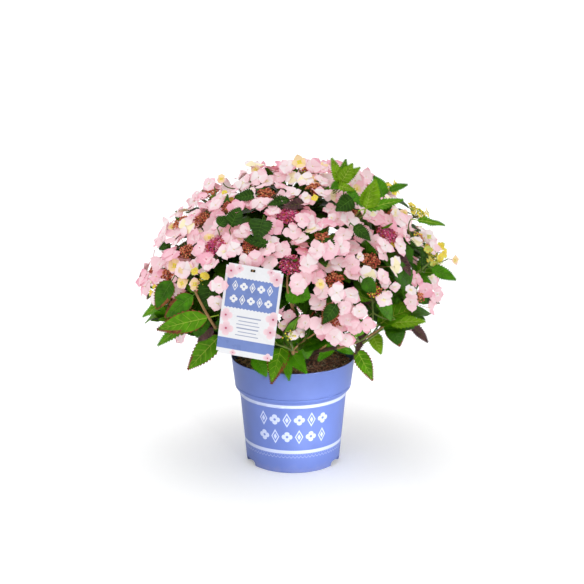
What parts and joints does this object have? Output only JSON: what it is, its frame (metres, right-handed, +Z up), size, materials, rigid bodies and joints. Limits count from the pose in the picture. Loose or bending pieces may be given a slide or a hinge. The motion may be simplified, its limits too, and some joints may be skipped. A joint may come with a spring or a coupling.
{
  "type": "potted hydrangea shrub",
  "caption": "Rounded lacecap hydrangea shrub in a tapered round nursery pot, with a root crown, canes, leafy flowering masses, soil and a hanging card.",
  "frame": {"origin": "middle of the pot's flat underside, which stands on the ground", "axes": "+Z up, -Y towards the front, where the card hangs, +X to the right seen from the front"},
  "size_m": [0.6153, 0.5662, 0.5689],
  "materials": {
    "pot": "satin, injection moulded, periwinkle blue",
    "soil": "loose peat and bark",
    "wood": "thin rough bark",
    "foliage": "leaves, petals and green twigs",
    "card": "satin coated printed card"
  },
  "bodies": {
    "root": {"cane_lower_1": "wood", "cane_lower_2": "wood", "cane_lower_3": "wood", "cane_lower_4": "wood", "cane_lower_5": "wood", "cane_lower_6": "wood", "cane_lower_7": "wood", "cane_lower_8": "wood", "cane_top_1": "wood", "cane_upper_1": "wood", "cane_upper_2": "wood", "cane_upper_3": "wood", "cane_upper_4": "wood", "cane_upper_5": "wood", "cane_upper_6": "wood", "foliage_lower_1": "foliage", "foliage_lower_2": "foliage", "foliage_lower_3": "foliage", "foliage_lower_4": "foliage", "foliage_lower_5": "foliage", "foliage_lower_6": "foliage", "foliage_lower_7": "foliage", "foliage_lower_8": "foliage", "foliage_top_1": "foliage", "foliage_upper_1": "foliage", "foliage_upper_2": "foliage", "foliage_upper_3": "foliage", "foliage_upper_4": "foliage", "foliage_upper_5": "foliage", "foliage_upper_6": "foliage", "hanging_card": "card", "pot": "pot", "root_crown": "wood", "soil": "soil"}
  },
  "joints": []
}
